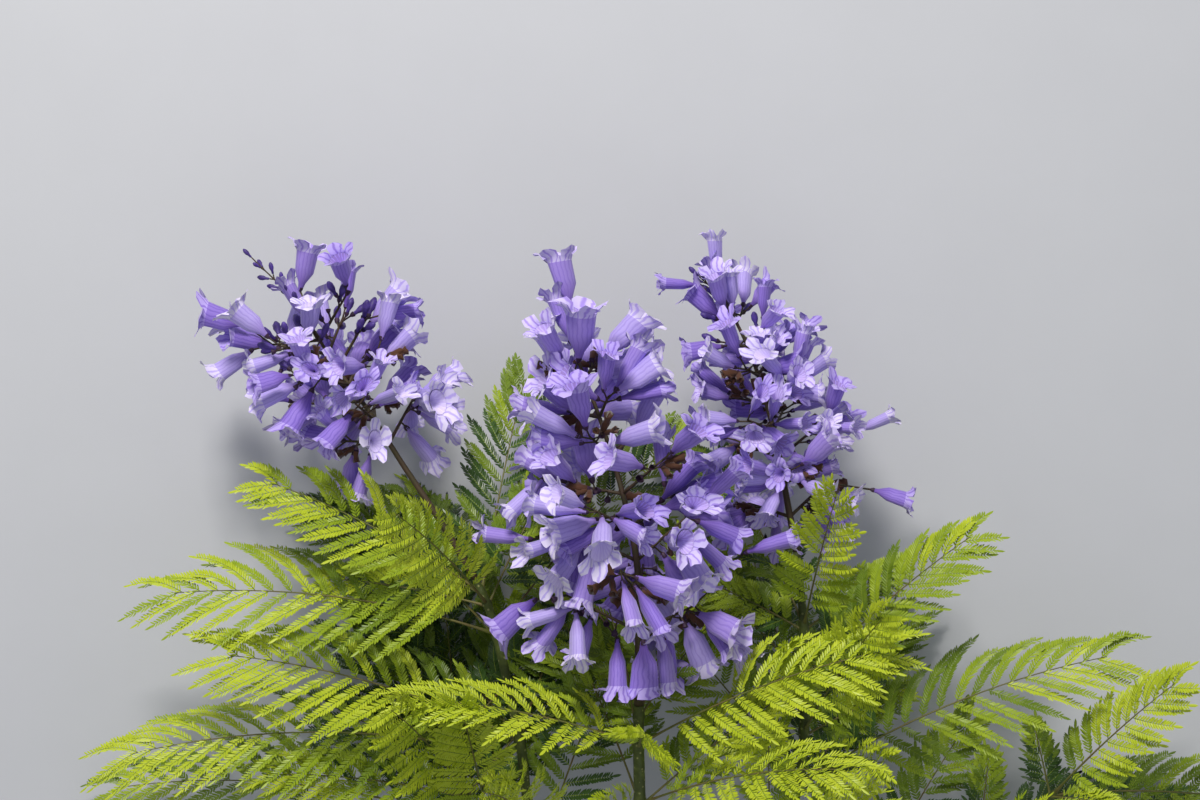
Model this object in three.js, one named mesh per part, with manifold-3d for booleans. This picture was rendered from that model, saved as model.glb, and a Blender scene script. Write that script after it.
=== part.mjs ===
// A flowering jacaranda branch, cut below its fork and laid on its back.
// Five shoots rise from the fork. Three end in a panicle of violet bells, and all carry fern-like leaves in pairs.
// Millimetres. X runs across the branch, Y from the cut foot towards the flowers, Z up from the ground it lies on.
import * as THREE from "three";
import { mergeVertices } from "three/addons/utils/BufferGeometryUtils.js";
import Module from "manifold-3d";

// Driving dimensions

// The middle of the whole branch seen from above, in the coordinates of the routes below. It becomes the origin.
const MIDDLE = new THREE.Vector3(47, 80, 0);

// Gap between a limb and what grows on it, and between any two neighbours.
const CLEARANCE = 0.3;

// Straight pieces that a limb's curve is made of.
const LIMB_STEPS = 10;

// Height above the ground at which a leaf stalk comes to rest, and the height over which it levels out.
const REST_HEIGHT = 1.2;
const SETTLING_HEIGHT = 30;

const BARK = { color: 0x6b5f45, roughness: 0.85, metalness: 0 };
const GREEN_STEM = { color: 0x59692e, roughness: 0.6, metalness: 0 };
const PETAL = { color: 0x9a86d8, roughness: 0.55, metalness: 0 };
const LEAF_TINTS = [
  { color: 0xa6c832, roughness: 0.5, metalness: 0 },
  { color: 0x7fa82c, roughness: 0.5, metalness: 0 },
  { color: 0x567f2a, roughness: 0.5, metalness: 0 },
];

// How steeply a leaf must rise to have the first tint, and the second.
const TINT_HEIGHTS = [0.1, -0.3];

// Each limb's centre line from its start to its tip, and its radius there.
// A pair of leaves sits at a share of the limb's length. Its turns go round the limb in degrees, from 0 at the
// right through 90 towards the upper side, and its spread is the angle between limb and leaf stalk.
const LIMBS = [
  {
    name: "main_branch",
    look: BARK,
    radii: [7.8, 6.4],
    sides: 10,
    route: [
      [12, -262, 7.5],
      [9, -216, 21],
      [5, -170, 38],
      [3, -128, 58],
    ],
    pairs: [],
  },
  {
    name: "shoot_centre",
    look: GREEN_STEM,
    radii: [5, 3.9],
    sides: 8,
    route: [
      [3, -128, 58],
      [2, -70, 92],
      [0, 0, 134],
      [-1, 40, 152],
      [-1, 72, 162],
    ],
    pairs: [
      { at: 0.48, turns: [34, 248], spreads: [52, 52], lengths: [200, 210] },
      { at: 0.76, turns: [12, 166], spreads: [54, 62], lengths: [205, 175] },
      { at: 0.93, turns: [-56, 244], spreads: [34, 34], lengths: [175, 175] },
    ],
  },
  {
    name: "shoot_left",
    look: GREEN_STEM,
    radii: [4.7, 3],
    sides: 8,
    route: [
      [3, -128, 58],
      [-40, -75, 85],
      [-80, -20, 105],
      [-91, 43, 120],
      [-110, 130, 128],
      [-124, 165, 130],
    ],
    pairs: [
      { at: 0.36, turns: [86, 250], spreads: [50, 50], lengths: [195, 210] },
      { at: 0.6, turns: [-62, 172], spreads: [54, 50], lengths: [200, 230] },
      { at: 0.78, turns: [-24, 176], spreads: [53, 56], lengths: [225, 250] },
      { at: 0.87, turns: [100, 262], spreads: [48, 48], lengths: [155, 160] },
      { at: 0.93, turns: [-30, 172], spreads: [40, 28], lengths: [180, 180] },
    ],
  },
  {
    name: "shoot_right",
    look: GREEN_STEM,
    radii: [4.6, 3],
    sides: 8,
    route: [
      [3, -128, 58],
      [52, -72, 80],
      [100, -30, 98],
      [121, 8, 108],
      [125, 65, 114],
      [125, 119, 117],
      [119, 185, 118],
    ],
    pairs: [
      { at: 0.34, turns: [64, 254], spreads: [44, 44], lengths: [175, 210] },
      { at: 0.5, turns: [4, 190], spreads: [40, 50], lengths: [255, 195] },
      { at: 0.62, turns: [68, 258], spreads: [46, 50], lengths: [160, 180] },
      { at: 0.74, turns: [10, 200], spreads: [42, 44], lengths: [165, 175] },
      { at: 0.86, turns: [75, 236], spreads: [42, 30], lengths: [140, 165] },
    ],
  },
  {
    name: "side_shoot_left",
    look: GREEN_STEM,
    radii: [3.4, 2.3],
    sides: 8,
    route: [
      [-62, -46, 96],
      [-95, -40, 94],
      [-128, -12, 94],
      [-142, 45, 100],
    ],
    pairs: [
      { at: 0.52, turns: [-24, 184], spreads: [56, 19], lengths: [185, 300] },
      { at: 0.74, turns: [96, 268], spreads: [50, 50], lengths: [175, 195] },
      { at: 0.96, turns: [-30, 168], spreads: [56, 66], lengths: [180, 250] },
    ],
  },
  {
    name: "side_shoot_right",
    look: GREEN_STEM,
    radii: [3.7, 2.3],
    sides: 8,
    route: [
      [52, -72, 80],
      [120, -76, 76],
      [200, -62, 80],
      [275, -34, 90],
      [322, 6, 100],
    ],
    pairs: [
      { at: 0.44, turns: [14, 186], spreads: [50, 50], lengths: [205, 140] },
      { at: 0.7, turns: [92, 272], spreads: [50, 50], lengths: [175, 195] },
      { at: 0.96, turns: [-10, 110], spreads: [38, 22], lengths: [185, 140] },
    ],
  },
];

// Each panicle's axis goes on from its shoot, bare up to a share of its length. Tiers of opposite branches stand
// along the rest, and reach is how long they are at its foot and tip. rise turns the bells' mouths to the tip, or
// to the foot where it is negative. bells scales the bells.
const PANICLES = [
  {
    name: "panicle_centre",
    seed: 15,
    radii: [3.5, 1.2],
    tiers: 8,
    bare: 0.18,
    reach: [92, 8],
    rise: [-1.9, 1.3],
    bells: 1.1,
    route: [
      [-1, 72, 162],
      [-1, 122, 172],
      [-2, 174, 176],
      [-11, 222, 176],
      [-27, 277, 171],
      [-48, 334, 164],
    ],
  },
  {
    name: "panicle_left",
    seed: 121,
    radii: [2.8, 1.1],
    tiers: 7,
    bare: 0.45,
    reach: [66, 40],
    rise: [-0.6, 0.7],
    bells: 0.96,
    route: [
      [-124, 165, 130],
      [-150, 208, 130],
      [-178, 250, 128],
      [-205, 292, 125],
      [-229, 324, 122],
      [-246, 352, 119],
    ],
  },
  {
    name: "panicle_right",
    seed: 141,
    radii: [2.8, 1.1],
    tiers: 8,
    bare: 0.1,
    reach: [61, 7],
    rise: [-0.7, 1.1],
    bells: 0.84,
    route: [
      [119, 185, 118],
      [112, 222, 117],
      [105, 262, 116],
      [96, 298, 114],
      [84, 336, 112],
      [68, 370, 110],
    ],
  },
];

// Leaf
const PINNA_PAIRS = 8;
const BARE_STATIONS = 2;
const STATIONS = BARE_STATIONS + 2 * PINNA_PAIRS; // along the midrib: one at each pinna, and one between
const STALK_SHARE = 0.18; // of the leaf's length, bare below its first pinnae
const PINNA_SHARE = 0.28; // longest pinna over leaf length
const LONGEST_PINNA = 66;
const PINNA_ARC = [0.3, 0.8]; // of half a turn, whose sine is a pinna's share of the longest, at foot and tip
const PINNA_ANGLE = [56, 20]; // from the midrib in degrees, at the leaf's foot and tip
const PINNA_DROOP = 0.16;
const LEAF_ARCH = 0.002; // bend per millimetre
const BEND = new THREE.Vector3(0, -0.86, -0.51); // leaves bend to the foot of the branch, and to the ground
const LOWEST_HEADING = -0.35; // no leaf points further to the foot than this
// Degrees by which a sideways leaf turns its face from the upper side to the tip's side: while it is level, what a
// leaf straight up adds to that, and the least and the most.
const FACE_ROLL = 33;
const RISING_ROLL = 72;
const ROLL_LIMITS = [24, 72];
const MIDRIB_HALF_WIDTH = [1.7, 1];
const MIDRIB_HALF_THICKNESS = [1.5, 0.9];
const NOTCH_HALF_THICKNESS = 0.8;
const PINNA_TIP_HALF_THICKNESS = 0.45;

// Bell flower
const BELL_LENGTH = 50;
const BELL_SIDES = 5;
// Radius in millimetres and share of the length: the stalk's start, the tube, the lip, and the bottom inside.
const BELL_PROFILE = [
  [0, 0],
  [5.9, 0.5],
  [11.2, 1],
  [0, 0.84],
];
const TWIG_RADII = [1.5, 0.9];
const AXIS_SIDES = 5;
const BRANCH_ANGLE = 64; // degrees between the panicle's axis and its branches
const ANGLE_CHANCE = 16; // degrees by which that varies
const FIRST_TIER = 0.4; // of the room between two tiers
const TIER_TURN = 97; // degrees from one pair of branches to the next
const TURN_CHANCE = 36;
const LENGTH_CHANCE = [0.8, 1.2];
const LOWEST_BRANCH = 0.68; // of the length that its place would give it
const BRANCH_GAIN = 1.6; // what a whole axis would add to that
const BELL_FLANK = 1.3; // a bell's turn to its branch's flank, against 1 away from the axis
const BELL_WANDER = 0.8; // and the part that is chance
const BELL_MIDDLE = 0.7; // of its length
const BELLS_AT = [1, 0.74, 0.5]; // shares of a branch's length
const BELL_SPACING = 22.5; // between the middles of two bells
const FLATTENING = 0.45; // of the mouths' tilt to the upper side and the ground

const UP_SIDE = new THREE.Vector3(0, 0, 1);
const TO_FOOT = new THREE.Vector3(0, -1, 0);
const radians = THREE.MathUtils.degToRad;
const { lerp, clamp } = THREE.MathUtils;

const wasm = await Module();
wasm.setup();

// Numbers from 0 to 1 that come out the same every time for one seed.
function seeded(seed) {
  let state = seed >>> 0;
  return () => {
    state = (Math.imul(state, 1664525) + 1013904223) >>> 0;
    return state / 4294967296;
  };
}

function vector(point) {
  return new THREE.Vector3(...point);
}

// Solids, and the gaps between them

// A closed geometry as a solid that can be joined and cut.
function solidOf(geometry) {
  const bare = geometry.clone();
  bare.deleteAttribute("normal");
  bare.deleteAttribute("uv");
  const merged = mergeVertices(bare, 1e-4);
  return new wasm.Manifold(
    new wasm.Mesh({
      numProp: 3,
      vertProperties: merged.attributes.position.array,
      triVerts: new Uint32Array(merged.index.array),
    }),
  );
}

// The largest body of a solid, as a geometry.
function geometryOf(solid) {
  const bodies = solid.decompose();
  const largest = bodies.reduce((a, b) => (b.volume() > a.volume() ? b : a));
  const mesh = largest.getMesh();
  const places = new Float32Array(mesh.numVert * 3);
  for (let i = 0; i < mesh.numVert; i += 1) {
    places.set(mesh.vertProperties.subarray(i * mesh.numProp, i * mesh.numProp + 3), i * 3);
  }
  const geometry = new THREE.BufferGeometry();
  geometry.setAttribute("position", new THREE.BufferAttribute(places, 3));
  geometry.setIndex(new THREE.BufferAttribute(mesh.triVerts, 1));
  geometry.computeVertexNormals();
  return geometry;
}

function boxOf(solid) {
  const { min, max } = solid.boundingBox();
  return new THREE.Box3(vector(min), vector(max)).expandByScalar(CLEARANCE);
}

// Everything placed so far, in small pieces, so that later growth can keep clear of it.
const placed = [];

function place(owner, solid) {
  placed.push({ owner, solid, box: boxOf(solid) });
}

function isFree(owner, solid) {
  const box = boxOf(solid);
  return !placed.some(
    (other) =>
      other.owner !== owner &&
      other.box.intersectsBox(box) &&
      solid.minGap(other.solid, CLEARANCE) < CLEARANCE,
  );
}

// Limbs and twigs

// The direction of a limb and two more at right angles to it: across the branch, and towards its upper side.
function frameAlong(direction) {
  const across = new THREE.Vector3().crossVectors(direction, UP_SIDE).normalize();
  const upper = new THREE.Vector3().crossVectors(across, direction);
  return { across, upper };
}

function curveOf(route) {
  return new THREE.CatmullRomCurve3(route.map(vector), false, "catmullrom", 0.5);
}

// A tapered rod that follows a curve. extra widens it and lengthens both its ends.
function limbSolid(route, radii, sides, steps, extra = 0) {
  const curve = curveOf(route);
  const geometry = new THREE.CylinderGeometry(1, 1, 1, sides, steps);
  const places = geometry.attributes.position;
  for (let i = 0; i < places.count; i += 1) {
    const share = places.getY(i) + 0.5;
    const direction = curve.getTangent(share);
    const { across, upper } = frameAlong(direction);
    const radius = lerp(radii[0], radii[1], share) + extra;
    const beyond = share === 0 ? -extra : share === 1 ? extra : 0;
    const point = curve
      .getPoint(share)
      .addScaledVector(across, places.getX(i) * radius)
      .addScaledVector(upper, places.getZ(i) * radius)
      .addScaledVector(direction, beyond);
    places.setXYZ(i, point.x, point.y, point.z);
  }
  return solidOf(geometry);
}

// A straight three-sided twig.
function twigSolid(from, to, radii) {
  const span = new THREE.Vector3().subVectors(to, from);
  const geometry = new THREE.CylinderGeometry(radii[1], radii[0], span.length(), 3, 1);
  const turn = new THREE.Quaternion().setFromUnitVectors(
    new THREE.Vector3(0, 1, 0),
    span.clone().normalize(),
  );
  geometry.applyQuaternion(turn);
  const middle = new THREE.Vector3().addVectors(from, to).multiplyScalar(0.5);
  geometry.translate(middle.x, middle.y, middle.z);
  return solidOf(geometry);
}

// Leaves

// A leaf's start, direction and length, from its place on a limb.
function leafPlan(limb, pair, side) {
  const curve = curveOf(limb.route);
  const tip = curve.getTangent(pair.at);
  const { across, upper } = frameAlong(tip);
  const turn = radians(pair.turns[side]);
  const outward = across.clone().multiplyScalar(Math.cos(turn)).addScaledVector(upper, Math.sin(turn));
  const spread = radians(pair.spreads[side]);
  const direction = tip.clone().multiplyScalar(Math.cos(spread)).addScaledVector(outward, Math.sin(spread));
  direction.y = Math.max(direction.y, LOWEST_HEADING);
  return { start: curve.getPoint(pair.at), direction: direction.normalize(), length: pair.lengths[side] };
}

// The blade's two directions at a station: its face looks to the upper side, and rolls over to the branch's tip
// where the leaf runs sideways, the more so where it rises.
function bladeFrame(along) {
  const level = new THREE.Vector3().crossVectors(UP_SIDE, along).normalize();
  const rolled = clamp(FACE_ROLL + RISING_ROLL * along.z, ROLL_LIMITS[0], ROLL_LIMITS[1]);
  const roll = -radians(rolled) * along.x;
  const across = level.applyAxisAngle(along, roll);
  const normal = new THREE.Vector3().crossVectors(along, across);
  return { across, normal };
}

// Stations along a leaf's midrib. It arches over, and levels out on the ground.
function midrib(leaf) {
  const step = leaf.length / STATIONS;
  const point = leaf.start.clone();
  const along = leaf.direction.clone();
  const found = [];
  for (let i = 0; i <= STATIONS; i += 1) {
    found.push({ point: point.clone(), along: along.clone(), ...bladeFrame(along) });
    along.addScaledVector(BEND, LEAF_ARCH * step);
    along.y = Math.max(along.y, LOWEST_HEADING);
    if (along.z < 0) {
      along.z *= clamp((point.z - REST_HEIGHT) / SETTLING_HEIGHT, 0, 1);
    }
    along.normalize();
    point.addScaledVector(along, step);
    point.z = Math.max(point.z, REST_HEIGHT);
  }
  return found;
}

// Where the pinna ends that leaves the midrib at a share of the leafy length, on side -1 or 1.
function pinnaTip(leaf, station, share, side) {
  const longest = Math.min(leaf.length * PINNA_SHARE, LONGEST_PINNA);
  const length = longest * Math.sin(Math.PI * lerp(PINNA_ARC[0], PINNA_ARC[1], share));
  const angle = radians(lerp(PINNA_ANGLE[0], PINNA_ANGLE[1], share));
  return station.point
    .clone()
    .addScaledVector(station.across, side * length * Math.sin(angle))
    .addScaledVector(station.along, length * Math.cos(angle))
    .addScaledVector(BEND, PINNA_DROOP * length);
}

// A leaf as a thin blade on its midrib, cut in to the rib between its pinnae. keeps(index, side) says whether
// the pinna stays that stands at a station. first and last limit the blade to a stretch of its stations.
function leafSolid(leaf, keeps, first = 0, last = STATIONS) {
  const ribs = midrib(leaf);
  const geometry = new THREE.BoxGeometry(last - first, 2, 1, last - first, 2, 1);
  const places = geometry.attributes.position;
  const bare = STALK_SHARE * STATIONS;
  for (let i = 0; i < places.count; i += 1) {
    const index = Math.round(places.getX(i) + (first + last) / 2);
    const side = Math.round(places.getY(i));
    const face = Math.sign(places.getZ(i));
    const rib = ribs[index];
    const share = clamp((index - bare) / (STATIONS - bare), 0, 1);
    const along = index / STATIONS;
    const isPinna = side !== 0 && index > BARE_STATIONS && index % 2 === 1 && keeps(index, side);
    const point = isPinna
      ? pinnaTip(leaf, rib, share, side)
      : rib.point
          .clone()
          .addScaledVector(rib.across, side * lerp(MIDRIB_HALF_WIDTH[0], MIDRIB_HALF_WIDTH[1], along));
    let thickness = lerp(MIDRIB_HALF_THICKNESS[0], MIDRIB_HALF_THICKNESS[1], along);
    if (side !== 0) {
      thickness = isPinna ? PINNA_TIP_HALF_THICKNESS : NOTCH_HALF_THICKNESS;
    }
    point.z = Math.max(point.z, thickness);
    point.addScaledVector(rib.normal, face * thickness);
    places.setXYZ(i, point.x, point.y, Math.max(point.z, face > 0 ? thickness : 0));
  }
  return solidOf(geometry);
}

// Leaves on the upper side are the brightest, and those underneath the darkest.
function leafTint(leaf) {
  const height = leaf.direction.z;
  return LEAF_TINTS[height > TINT_HEIGHTS[0] ? 0 : height > TINT_HEIGHTS[1] ? 1 : 2];
}

// Panicles

// One bell, filled, with its mouth along a direction.
function bellSolid(base, direction, scale) {
  const profile = BELL_PROFILE.map(
    ([radius, share]) => new THREE.Vector2(radius * scale, share * BELL_LENGTH * scale),
  );
  const geometry = new THREE.LatheGeometry(profile, BELL_SIDES);
  geometry.applyQuaternion(
    new THREE.Quaternion().setFromUnitVectors(new THREE.Vector3(0, 1, 0), direction),
  );
  geometry.translate(base.x, base.y, base.z);
  return solidOf(geometry);
}

// Where a panicle's branches run: opposite pairs in tiers along its axis, each tier turned from the one below.
function panicleBranches(plan) {
  const random = seeded(plan.seed);
  const axis = curveOf(plan.route);
  const found = [];
  for (let tier = 0; tier < plan.tiers; tier += 1) {
    const share = lerp(plan.bare, 1, (tier + FIRST_TIER) / plan.tiers);
    const tip = axis.getTangent(share);
    const { across, upper } = frameAlong(tip);
    for (const half of [0, 180]) {
      const turn = radians(TIER_TURN * tier + half + TURN_CHANCE * (random() - 0.5));
      const outward = across.clone().multiplyScalar(Math.cos(turn)).addScaledVector(upper, Math.sin(turn));
      const angle = radians(BRANCH_ANGLE + ANGLE_CHANCE * (random() - 0.5));
      const heading = tip.clone().multiplyScalar(Math.cos(angle)).addScaledVector(outward, Math.sin(angle));
      const lowest = Math.min(1, LOWEST_BRANCH + BRANCH_GAIN * (share - plan.bare));
      const chance = lerp(LENGTH_CHANCE[0], LENGTH_CHANCE[1], random());
      const length = lerp(plan.reach[0], plan.reach[1], share) * chance * lowest;
      const rise = lerp(plan.rise[0], plan.rise[1], share);
      found.push({ root: axis.getPoint(share), heading, outward, tip, length, rise });
    }
  }
  return found;
}

// The bells on a branch, stalks included: one at its tip, and the others to either side in turn.
function branchBells(branch, random) {
  const { root, heading, outward, tip, length, rise } = branch;
  const flank = new THREE.Vector3().crossVectors(heading, tip).normalize();
  return BELLS_AT.map((at, number) => {
    const wander = new THREE.Vector3(random() - 0.5, random() - 0.5, random() - 0.5);
    const side = number === 0 ? 0 : number % 2 === 0 ? -BELL_FLANK : BELL_FLANK;
    const mouth = outward.clone().addScaledVector(flank, side).addScaledVector(TO_FOOT, -rise);
    mouth.addScaledVector(wander, BELL_WANDER);
    mouth.z *= FLATTENING;
    mouth.normalize();
    return { base: root.clone().addScaledVector(heading, length * at), mouth };
  });
}

function panicleSolid(plan, limbCuts) {
  const random = seeded(plan.seed + 1);
  const parts = [limbSolid(plan.route, plan.radii, AXIS_SIDES, LIMB_STEPS)];
  const bells = [];
  const tryBell = ({ base, mouth }) => {
    const solid = bellSolid(base.clone().addScaledVector(mouth, -1), mouth, plan.bells);
    const middle = base.clone().addScaledVector(mouth, BELL_LENGTH * plan.bells * BELL_MIDDLE);
    const isCrowded = bells.some((other) => other.middle.distanceTo(middle) < BELL_SPACING * plan.bells);
    if (isCrowded || !isFree(plan.name, solid)) {
      return;
    }
    bells.push({ middle, solid });
    place(plan.name, solid);
    parts.push(solid);
  };
  const axis = curveOf(plan.route);
  tryBell({ base: axis.getPoint(1), mouth: axis.getTangent(1) });
  for (const branch of panicleBranches(plan)) {
    const end = branch.root.clone().addScaledVector(branch.heading, branch.length);
    const twig = twigSolid(branch.root, end, TWIG_RADII);
    if (isFree(plan.name, twig)) {
      place(plan.name, twig);
      parts.push(twig);
      branchBells(branch, random).forEach(tryBell);
    }
  }
  return wasm.Manifold.union(parts).subtract(limbCuts);
}

// Assembly

const branch = new THREE.Group();

function add(name, solid, look) {
  const mesh = new THREE.Mesh(geometryOf(solid), new THREE.MeshStandardMaterial(look));
  mesh.name = name;
  mesh.position.copy(MIDDLE).negate();
  branch.add(mesh);
}

const cuts = [];
for (const limb of LIMBS) {
  let solid = limbSolid(limb.route, limb.radii, limb.sides, LIMB_STEPS);
  if (cuts.length > 0) {
    solid = solid.subtract(wasm.Manifold.union(cuts));
  }
  add(limb.name, solid, limb.look);
  place(limb.name, solid);
  cuts.push(limbSolid(limb.route, limb.radii, limb.sides, LIMB_STEPS, CLEARANCE));
}
const limbCuts = wasm.Manifold.union(cuts);

const leaves = LIMBS.flatMap((limb) =>
  limb.pairs.flatMap((pair, number) =>
    [0, 1].map((side) => ({
      name: `leaf_${limb.name}_${number + 1}${"ab"[side]}`,
      plan: leafPlan(limb, pair, side),
    })),
  ),
);
for (const leaf of leaves) {
  place(leaf.name, leafSolid(leaf.plan, () => false).subtract(limbCuts));
}

for (const plan of PANICLES) {
  place(plan.name, limbSolid(plan.route, plan.radii, AXIS_SIDES, LIMB_STEPS).subtract(limbCuts));
}
for (const plan of PANICLES) {
  add(plan.name, panicleSolid(plan, limbCuts), PETAL);
}

for (const leaf of leaves) {
  const keeps = (index, side) => {
    const isOnly = (at, where) => at === index && where === side;
    return isFree(leaf.name, leafSolid(leaf.plan, isOnly, index - 1, index + 1));
  };
  const kept = new Map();
  for (let index = BARE_STATIONS + 1; index < STATIONS; index += 2) {
    for (const side of [-1, 1]) {
      kept.set(index * side, keeps(index, side));
    }
  }
  const solid = leafSolid(leaf.plan, (index, side) => kept.get(index * side)).subtract(limbCuts);
  place(leaf.name, solid);
  add(leaf.name, solid, leafTint(leaf.plan));
}

export default branch;
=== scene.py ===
# %% [markdown]
# # A cut jacaranda branch in flower
#
# The real object is the end of a branch, cut off and laid on its back. Three green shoots leave one barked stem,
# and two more leave those. The first three end in a panicle, a loose cone of violet bells, and pairs of fern-like
# leaves stand along all five. The stems, leaves and panicles already exist as plain solids, which set sizes and
# places. This script grows fine leaves, bells and bark along the same stems, and takes the solids' place.

# %% Load the solids
import math

import bmesh
import bpy
import numpy as np
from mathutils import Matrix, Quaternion, Vector, noise
from mathutils.kdtree import KDTree


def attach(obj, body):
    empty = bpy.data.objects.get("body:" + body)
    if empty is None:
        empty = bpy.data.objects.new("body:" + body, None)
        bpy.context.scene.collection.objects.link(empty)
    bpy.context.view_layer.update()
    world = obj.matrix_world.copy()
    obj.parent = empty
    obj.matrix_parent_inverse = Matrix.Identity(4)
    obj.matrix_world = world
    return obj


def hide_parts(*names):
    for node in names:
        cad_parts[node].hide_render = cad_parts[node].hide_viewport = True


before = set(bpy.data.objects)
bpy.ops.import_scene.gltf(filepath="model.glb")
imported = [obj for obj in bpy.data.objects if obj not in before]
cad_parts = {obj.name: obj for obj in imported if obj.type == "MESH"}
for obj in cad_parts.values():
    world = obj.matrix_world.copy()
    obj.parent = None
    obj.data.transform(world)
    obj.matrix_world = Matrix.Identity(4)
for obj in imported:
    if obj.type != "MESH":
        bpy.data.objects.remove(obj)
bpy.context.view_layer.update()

print("solids:", len(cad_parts))

# %% [markdown]
# ## Driving sizes
#
# Lengths are millimetres, as in the part's drawing, and turn into metres only when a mesh is made. X runs
# across the branch, Y from its cut foot to the flowers, and Z up from the ground. The drawing puts its zero at
# the middle stem, so everything moves by one fixed step to have the middle of the whole branch at the origin.

# %% Driving sizes
MM = 0.001
MIDDLE = Vector((47, 80, 0))
UP_SIDE = Vector((0, 0, 1))
TO_FOOT = Vector((0, -1, 0))
print("millimetres from the middle stem to the branch's middle:", MIDDLE[:])

# %% [markdown]
# ## Where the stems run
#
# Each limb is a row of points from start to tip, with its radius at both ends. A pair of leaves sits at a share
# of the limb's length: its turns go round the limb in degrees, and its spreads are the angles between limb and
# leaf stalk. Jacaranda leaves stand in opposite pairs, each pair a quarter turn from the last. Young leaves grow
# from the axils of the old ones, and young is how long they are beside those.

# %% Limbs
LIMBS = {
    "main_branch": {
        "radii": (7.8, 6.4),
        "route": [(12, -262, 7.5), (9, -216, 21), (5, -170, 38), (3, -128, 58)],
        "pairs": [],
    },
    "shoot_centre": {
        "radii": (5, 3.9),
        "young": 0.6,
        "route": [(3, -128, 58), (2, -70, 92), (0, 0, 134), (-1, 40, 152), (-1, 72, 162)],
        "pairs": [
            {"at": 0.48, "turns": (34, 248), "spreads": (52, 52), "lengths": (200, 210)},
            {"at": 0.76, "turns": (12, 166), "spreads": (54, 62), "lengths": (205, 175)},
            {"at": 0.93, "turns": (-56, 244), "spreads": (34, 34), "lengths": (175, 175)},
        ],
    },
    "shoot_left": {
        "radii": (4.7, 3),
        "young": 0.85,
        "route": [
            (3, -128, 58), (-40, -75, 85), (-80, -20, 105), (-91, 43, 120), (-110, 130, 128), (-124, 165, 130),
        ],
        "pairs": [
            {"at": 0.36, "turns": (86, 250), "spreads": (50, 50), "lengths": (195, 210)},
            {"at": 0.6, "turns": (-62, 172), "spreads": (54, 50), "lengths": (200, 230)},
            {"at": 0.78, "turns": (-24, 176), "spreads": (53, 56), "lengths": (225, 250)},
            {"at": 0.87, "turns": (100, 262), "spreads": (48, 48), "lengths": (155, 160)},
            {"at": 0.93, "turns": (-30, 172), "spreads": (40, 28), "lengths": (180, 180)},
        ],
    },
    "shoot_right": {
        "radii": (4.6, 3),
        "young": 0.55,
        "route": [
            (3, -128, 58), (52, -72, 80), (100, -30, 98), (121, 8, 108), (125, 65, 114), (125, 119, 117),
            (119, 185, 118),
        ],
        "pairs": [
            {"at": 0.34, "turns": (64, 254), "spreads": (44, 44), "lengths": (175, 210)},
            {"at": 0.5, "turns": (4, 190), "spreads": (40, 50), "lengths": (255, 195)},
            {"at": 0.62, "turns": (68, 258), "spreads": (46, 50), "lengths": (160, 180)},
            {"at": 0.74, "turns": (10, 200), "spreads": (42, 44), "lengths": (165, 175)},
            {"at": 0.86, "turns": (75, 236), "spreads": (42, 30), "lengths": (140, 165)},
        ],
    },
    "side_shoot_left": {
        "radii": (3.4, 2.3),
        "young": 0.85,
        "route": [(-62, -46, 96), (-95, -40, 94), (-128, -12, 94), (-142, 45, 100)],
        "pairs": [
            {"at": 0.52, "turns": (-24, 184), "spreads": (56, 19), "lengths": (185, 300)},
            {"at": 0.74, "turns": (96, 268), "spreads": (50, 50), "lengths": (175, 195)},
            {"at": 0.96, "turns": (-30, 168), "spreads": (56, 66), "lengths": (180, 250)},
        ],
    },
    "side_shoot_right": {
        "radii": (3.7, 2.3),
        "young": 0.38,
        "route": [(52, -72, 80), (120, -76, 76), (200, -62, 80), (275, -34, 90), (322, 6, 100)],
        "pairs": [
            {"at": 0.44, "turns": (14, 186), "spreads": (50, 50), "lengths": (205, 140)},
            {"at": 0.7, "turns": (92, 272), "spreads": (50, 50), "lengths": (175, 195)},
            {"at": 0.96, "turns": (-10, 110), "spreads": (38, 22), "lengths": (185, 140)},
        ],
    },
}
print("limbs:", len(LIMBS), "pairs of leaves:", sum(len(limb["pairs"]) for limb in LIMBS.values()))

# %% [markdown]
# A panicle's axis goes on from its shoot. Opposite branches stand on it in tiers. The longest are a little above
# the lowest. Where rise is negative the bells hang back towards the foot, as the oldest ones do. The bells of the
# middle panicle are the largest, and bells scales them. young is the share of buds near the tip, fallen the share
# of bells that have dropped and withered the share that died. A spray is the route of a last twig that has only
# buds. Some bells stand apart from the rest: lone holds where such a bell starts, and the way its mouth looks.

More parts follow.
